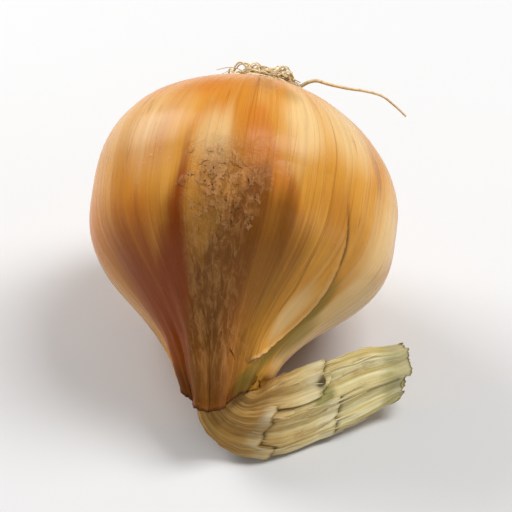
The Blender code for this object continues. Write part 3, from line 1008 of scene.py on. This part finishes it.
# Collar. The dry skins end round the stalk in thin overlapping flaps with dark, ragged
# rims. The longest one is a rounded tongue at the front, which lies on the stalk.
# Each flap is the turn of its middle and its half width in degrees, and where it ends at its
# middle and at its sides, in mm along the axis. The tongue comes first.
COLLAR_FLAPS = [
    (-12, 76, -54.1, -44.5),
    (58, 46, -47.0, -43.5),
    (118, 48, -46.5, -44.0),
    (186, 55, -45.5, -43.5),
    (250, 50, -47.5, -44.5),
]
# How far off the tongue looks for the stalk below it, and how high it lies over it.
REACH = 5 * MM
TONGUE_GAP = 0.25 * MM
FLAP_TAPER = 1.12
bm = bmesh.new()
notes = skin_notes(bm)
for order, (middle, half, far_middle, far_side) in enumerate(COLLAR_FLAPS):
    is_tongue = order == 0

    def place_flap(vert, u, v):
        side = 2 * u - 1
        degrees = middle + half * side
        turn = math.radians(degrees)
        taper = max(0, math.cos(0.5 * math.pi * side)) ** FLAP_TAPER
        far = far_side + (far_middle - far_side) * taper
        far += 0.3 * noise.noise(Vector((degrees * 0.09, order, 2)))
        far += 0.16 * noise.noise(Vector((degrees * 0.4, order, 5)))
        far += collar_shift(turn, -NECK_END) / MM
        start = -35 - 1.2 * order
        mm = start + (far - start) * v
        edge = max(0.3 * smoothstep(0.8, 1.0, abs(side)), smoothstep(0.9, 1.0, v))
        lift = -0.3 + 0.42 * smoothstep(0.0, 0.35, v) + 0.14 * edge * smoothstep(0.3, 0.8, v)
        lift += (0.32 if is_tongue else 0.04 * (4 - order)) * smoothstep(0.2, 0.6, v)
        lift -= 0.45 * smoothstep(0.8, 1.0, abs(side)) * (1 - smoothstep(0.7, 0.95, v))
        dark = max(smoothstep(0.91, 0.98, v), 0.15 * smoothstep(0.94, 1.0, abs(side)) * v)
        note_skin(vert, notes, turn, mm * MM, rim_and_shade=dark)
        far_down = smoothstep(0.5, 0.85, v) * is_tongue
        vert[notes["zones"]].x *= 1 - 0.75 * far_down
        vert[notes["tints"]].y = max(dark, 0.3 * far_down)
        stains = vert[notes["stains"]]
        stains.y = max(stains.y, far_down)
        point = skin_point(turn, mm * MM, lift * MM)
        if is_tongue:
            outward = FACE_UP * math.cos(turn) + ACROSS * math.sin(turn) - 0.4 * AXIS_UP
            outward.normalize()
            rest = (1 - smoothstep(0.55, 0.9, abs(side))) * smoothstep(0.45, 0.6, v)
            for tree in (core_tree, sheath_tree):
                found = tree.ray_cast(point + outward * REACH, -outward, 1.1 * REACH)[0]
                if found:
                    raised = (found - point).dot(outward) + TONGUE_GAP
                    point += outward * rest * max(0, raised)
        vert.co = point

    thin_patch(bm, 90, 80, place_flap, SKIN_THICKNESS)
bmesh.ops.recalc_face_normals(bm, faces=bm.faces)
collar_flaps = new_object("collar_flaps", bm, [onion_skin])
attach(collar_flaps, "root")


# Root plate. The corky stump of the stem, from which the roots grew. It fills the recess at
# the bulb's other end, with a raised crumbly ring round a sunk middle.
PLATE_EDGE = RECESS_RADIUS - 0.3 * MM
PLATE_FOOT = RECESS_FLOOR + 0.3 * MM
# The plate's corky top from its edge to its sunk middle, as (radius, height).
PLATE_TOP = [(PLATE_EDGE, RECESS_RIM - 0.2 * MM), (7.4 * MM, RECESS_RIM + 0.9 * MM),
             (4.6 * MM, RECESS_RIM + 0.8 * MM), (2.4 * MM, RECESS_RIM - 0.5 * MM),
             (0, RECESS_RIM - 0.7 * MM)]
TOP_STEPS = 40
PLATE_SIDES = 140
ROOT_TAN = paint(196, 156, 96)
ROOT_PALE = paint(248, 232, 192)
ROOT_GRIT = paint(150, 110, 60)
# Darker brown for the foot of each root, also used as painted shade in the plate's sunk middle.
ROOT_BASE_AND_SHADE = paint(96, 78, 38)


def root_finish(name):
    """Dried wiry roots and cork: from tan to pale, darker towards the foot of each root and with
    painted shade in the plate's sunk middle, with fine grit.
    """
    look = Finish(name)
    pale, base = look.parts(look.attribute("root_tints"))[:2]
    here = look.node("ShaderNodeTexCoord").outputs["Object"]
    grit = look.noise(here, (1100, 1100, 1100), 3, 0.7)
    colour = look.blend(pale, ROOT_TAN, ROOT_PALE)
    colour = look.blend(look.span(grit, 0.4, 0.7, 0, 0.45), colour, ROOT_GRIT)
    colour = look.blend(look.math("MULTIPLY", base, 0.7), colour, ROOT_BASE_AND_SHADE)
    look.join(colour, look.shader.inputs["Base Color"])
    look.join(look.span(grit, 0.3, 0.7, 0.7, 0.95), look.shader.inputs["Roughness"])
    look.join(look.bump(grit, 0.6, 0.2 * MM), look.shader.inputs["Normal"])
    look.shader.inputs["Specular IOR Level"].default_value = 0.25
    return look.material


dry_roots = root_finish("dry_roots")


bm = bmesh.new()
notes = note_layers(bm, ["root_tints"])
profile = [(0, PLATE_FOOT), (PLATE_EDGE, PLATE_FOOT)]
for i in range(TOP_STEPS + 1):
    spot = smooth_place([(radius, height, 0) for radius, height in PLATE_TOP], i / TOP_STEPS)
    profile.append((max(0, spot.x), spot.y))
spin_solid(bm, profile, PLATE_SIDES, 0.001 * MM)
for vert in bm.verts:
    x, y, height = vert.co
    radius = math.hypot(x, y)
    crumb = noise.noise(vert.co / MM * 0.8) + 0.5 * noise.noise(vert.co / MM * 2.2)
    if height > RECESS_FLOOR + 0.5 * MM and radius < PLATE_EDGE - 0.05 * MM:
        height += 0.35 * MM * crumb
    # Painted shade in the plate's sunk middle, darker towards its centre.
    shade = 1 - 0.7 * smoothstep(2 * MM, 4.5 * MM, radius)
    vert[notes["root_tints"]] = (0.4 + 0.4 * crumb, 0.35 + 0.65 * shade, 0)
    vert.co = LIE_DOWN @ Vector((x, y, height))
root_plate = new_object("root_plate", bm, [dry_roots])
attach(root_plate, "root")
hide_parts("root_crown")


# Root tuft. What is left of the dried, wiry roots. Most stand up from the plate and curl
# over, evenly spread by the golden turn. Others lie matted round its edge, every fourth one
# down on the skin, and one root is left long.
FINE_ROOTS = 330
FINE_SIDES = 6
FINE_CUTS = 8
MATTED_ROOTS = 150
GOLDEN_TURN = math.radians(137.5)
TUFT_INNER = 2.6
TUFT_OUTER = 8.2
FINE_LENGTHS = (4.0, 7.5)
FINE_RADII = (0.14, 0.30)
MATTED_RADII = (0.16, 0.36)
# The long root, in mm across, towards its lower side, and along the bulb's axis.
LONG_ROOT = [(6.6, 0, 27.8), (9.2, -0.7, 30.8), (12.5, -1.2, 32.5), (16.2, -1.5, 31.8),
             (20.8, -1.5, 31.2), (24.6, -1.0, 31.2), (28.7, 0, 30.8), (32.0, 1.5, 29.2),
             (34.8, 3.5, 27.6)]
LONG_SIDES = 10
LONG_CUTS = 40


def straight_rod(sides, cuts):
    """A rod of radius 1 from z = 0 to 1, as a mesh of its own to lay along each root."""
    rod = bmesh.new()
    bmesh.ops.create_cone(
        rod, cap_ends=True, segments=sides, radius1=1, radius2=1, depth=1,
        matrix=Matrix.Translation((0, 0, 0.5)),
    )
    long_edges = [e for e in rod.edges if abs(e.verts[0].co.z - e.verts[1].co.z) > 0.5]
    bmesh.ops.subdivide_edges(rod, edges=long_edges, cuts=cuts - 1)
    mesh = bpy.data.meshes.new("rod")
    rod.to_mesh(mesh)
    rod.free()
    return mesh


def add_root(bm, notes, rod, cuts, points, thick, thin, tone):
    """One root: a rod laid along the points and tapered."""
    first = len(bm.verts)
    bm.from_mesh(rod)
    bm.verts.ensure_lookup_table()
    rings = []
    side = (Vector(points[1]) - Vector(points[0])).orthogonal().normalized()
    for i in range(cuts + 1):
        ahead = smooth_place(points, min(1, i / cuts + 0.02))
        behind = smooth_place(points, max(0, i / cuts - 0.02))
        along = (ahead - behind).normalized()
        side = (side - side.dot(along) * along).normalized()
        rings.append((smooth_place(points, i / cuts), side, along.cross(side)))
    for vert in bm.verts[first:]:
        i = round(vert.co.z * cuts)
        here, side, other = rings[i]
        size = thick + (thin - thick) * i / cuts
        vert[notes["root_tints"]] = (tone, 1 - smoothstep(0, 0.35, i / cuts), 0)
        vert.co = LIE_DOWN @ (here + size * (side * vert.co.x + other * vert.co.y))


bm = bmesh.new()
notes = note_layers(bm, ["root_tints"])
rng = random.Random(7)
fine_rod = straight_rod(FINE_SIDES, FINE_CUTS)
long_rod = straight_rod(LONG_SIDES, LONG_CUTS)
for i in range(FINE_ROOTS):
    outer_share = math.sqrt((i + 0.5) / FINE_ROOTS)
    radius = (TUFT_INNER + (TUFT_OUTER - TUFT_INNER) * outer_share) * MM
    turn = i * GOLDEN_TURN + rng.uniform(-0.2, 0.2)
    outward = Vector((math.sin(turn), -math.cos(turn), 0))
    sideways = Vector((math.cos(turn), math.sin(turn), 0))
    start = outward * radius + Vector((0, 0, RECESS_RIM - 0.4 * MM))
    length = rng.uniform(*FINE_LENGTHS) * MM
    lean = rng.uniform(-0.3, 0.45) * radius / (8 * MM)
    curl = rng.choice((-1, 1)) * rng.uniform(0.4, 1.1)
    wave, phase = rng.uniform(0.2, 0.9), rng.uniform(0, 6)
    points = []
    for k in range(4):
        t = k / 3
        up = length * (1.3 * t - 0.98 * t * t)
        out = length * lean * t * (1 - 0.35 * t) + wave * t * MM * math.cos(3 * t + phase)
        aside = length * curl * t + wave * t * MM * math.sin(4 * t + phase)
        points.append(tuple(start + Vector((0, 0, up)) + outward * out + sideways * aside))
    thick = rng.uniform(*FINE_RADII) * MM
    add_root(bm, notes, fine_rod, FINE_CUTS, points, thick, 0.4 * thick, rng.random())
for i in range(MATTED_ROOTS):
    on_skin = i % 4 == 0
    radius = (rng.uniform(9.2, 12.0) if on_skin else rng.uniform(4.5, 8.8)) * MM
    turn, sweep = rng.gauss(0.2, 1.3), rng.choice((-1, 1)) * rng.uniform(0.5, 1.2)
    rise = (rng.uniform(0.4, 1.0) if on_skin else rng.uniform(2.2, 5.2)) * MM
    phase = rng.uniform(0, 6)
    points = []
    for k in range(5):
        t = k / 4
        here = turn + sweep * t
        wide = radius + 0.6 * MM * math.sin(5 * t + phase) - 1.6 * MM * (1 - t) ** 2
        rest = min(RECESS_RIM, ROOT_END * math.sqrt(1 - (wide / BULB_RADIUS) ** 2))
        points.append((
            wide * math.sin(here), -wide * math.cos(here),
            rest - 0.1 * MM + rise * math.sin(2.8 * t) + 0.3 * MM * math.sin(6 * t + phase),
        ))
    thick = rng.uniform(*MATTED_RADII) * MM
    add_root(bm, notes, fine_rod, FINE_CUTS, points, thick, 0.5 * thick, rng.uniform(0.2, 1))
long_way = [tuple(Vector(point) * MM) for point in LONG_ROOT]
add_root(bm, notes, long_rod, LONG_CUTS, long_way, 0.5 * MM, 0.25 * MM, 0.6)
for rod in (fine_rod, long_rod):
    bpy.data.meshes.remove(rod)
bmesh.ops.recalc_face_normals(bm, faces=bm.faces)
root_tuft = new_object("root_tuft", bm, [dry_roots])
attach(root_tuft, "root")


# Floor and light. A white sheet in a bright white room. Two strong soft boxes, one at the
# back left and one high at the right, and two weak ones, low at the right and at the front.
floor_mesh = bmesh.new()
bmesh.ops.create_grid(floor_mesh, x_segments=1, y_segments=1, size=3)
floor_look = Finish("white_sheet")
floor_look.shader.inputs["Base Color"].default_value = (0.68, 0.68, 0.68, 1)
floor_look.shader.inputs["Roughness"].default_value = 0.9
floor = new_object("floor", floor_mesh, [floor_look.material])


def soft_box(name, direction, distance, size, power):
    """A large flat lamp that faces the onion from this direction."""
    lamp = bpy.data.lights.new(name, "AREA")
    lamp.shape = "RECTANGLE"
    lamp.size, lamp.size_y = size
    lamp.energy = power
    box = bpy.data.objects.new(name, lamp)
    direction = Vector(direction).normalized()
    box.location = WIDEST_CENTRE + direction * distance
    box.rotation_euler = direction.to_track_quat("Z", "Y").to_euler()
    bpy.context.scene.collection.objects.link(box)


soft_box("box_back_left", (-0.75, 0.40, 0.54), distance=0.8, size=(0.42, 0.5), power=5.4)
soft_box("box_high_right", (0.47, 0.18, 0.86), distance=0.9, size=(0.35, 0.6), power=7.2)
soft_box("box_right", (0.92, -0.4, 0.16), distance=1.0, size=(0.5, 0.4), power=1.1)
soft_box("box_front", (0.25, -0.9, 0.55), distance=1.4, size=(1.0, 0.8), power=0.8)

world = bpy.data.worlds.new("white_room")
world.use_nodes = True
world.node_tree.nodes["Background"].inputs["Color"].default_value = (1, 1, 1, 1)
world.node_tree.nodes["Background"].inputs["Strength"].default_value = 0.22
bpy.context.scene.world = world
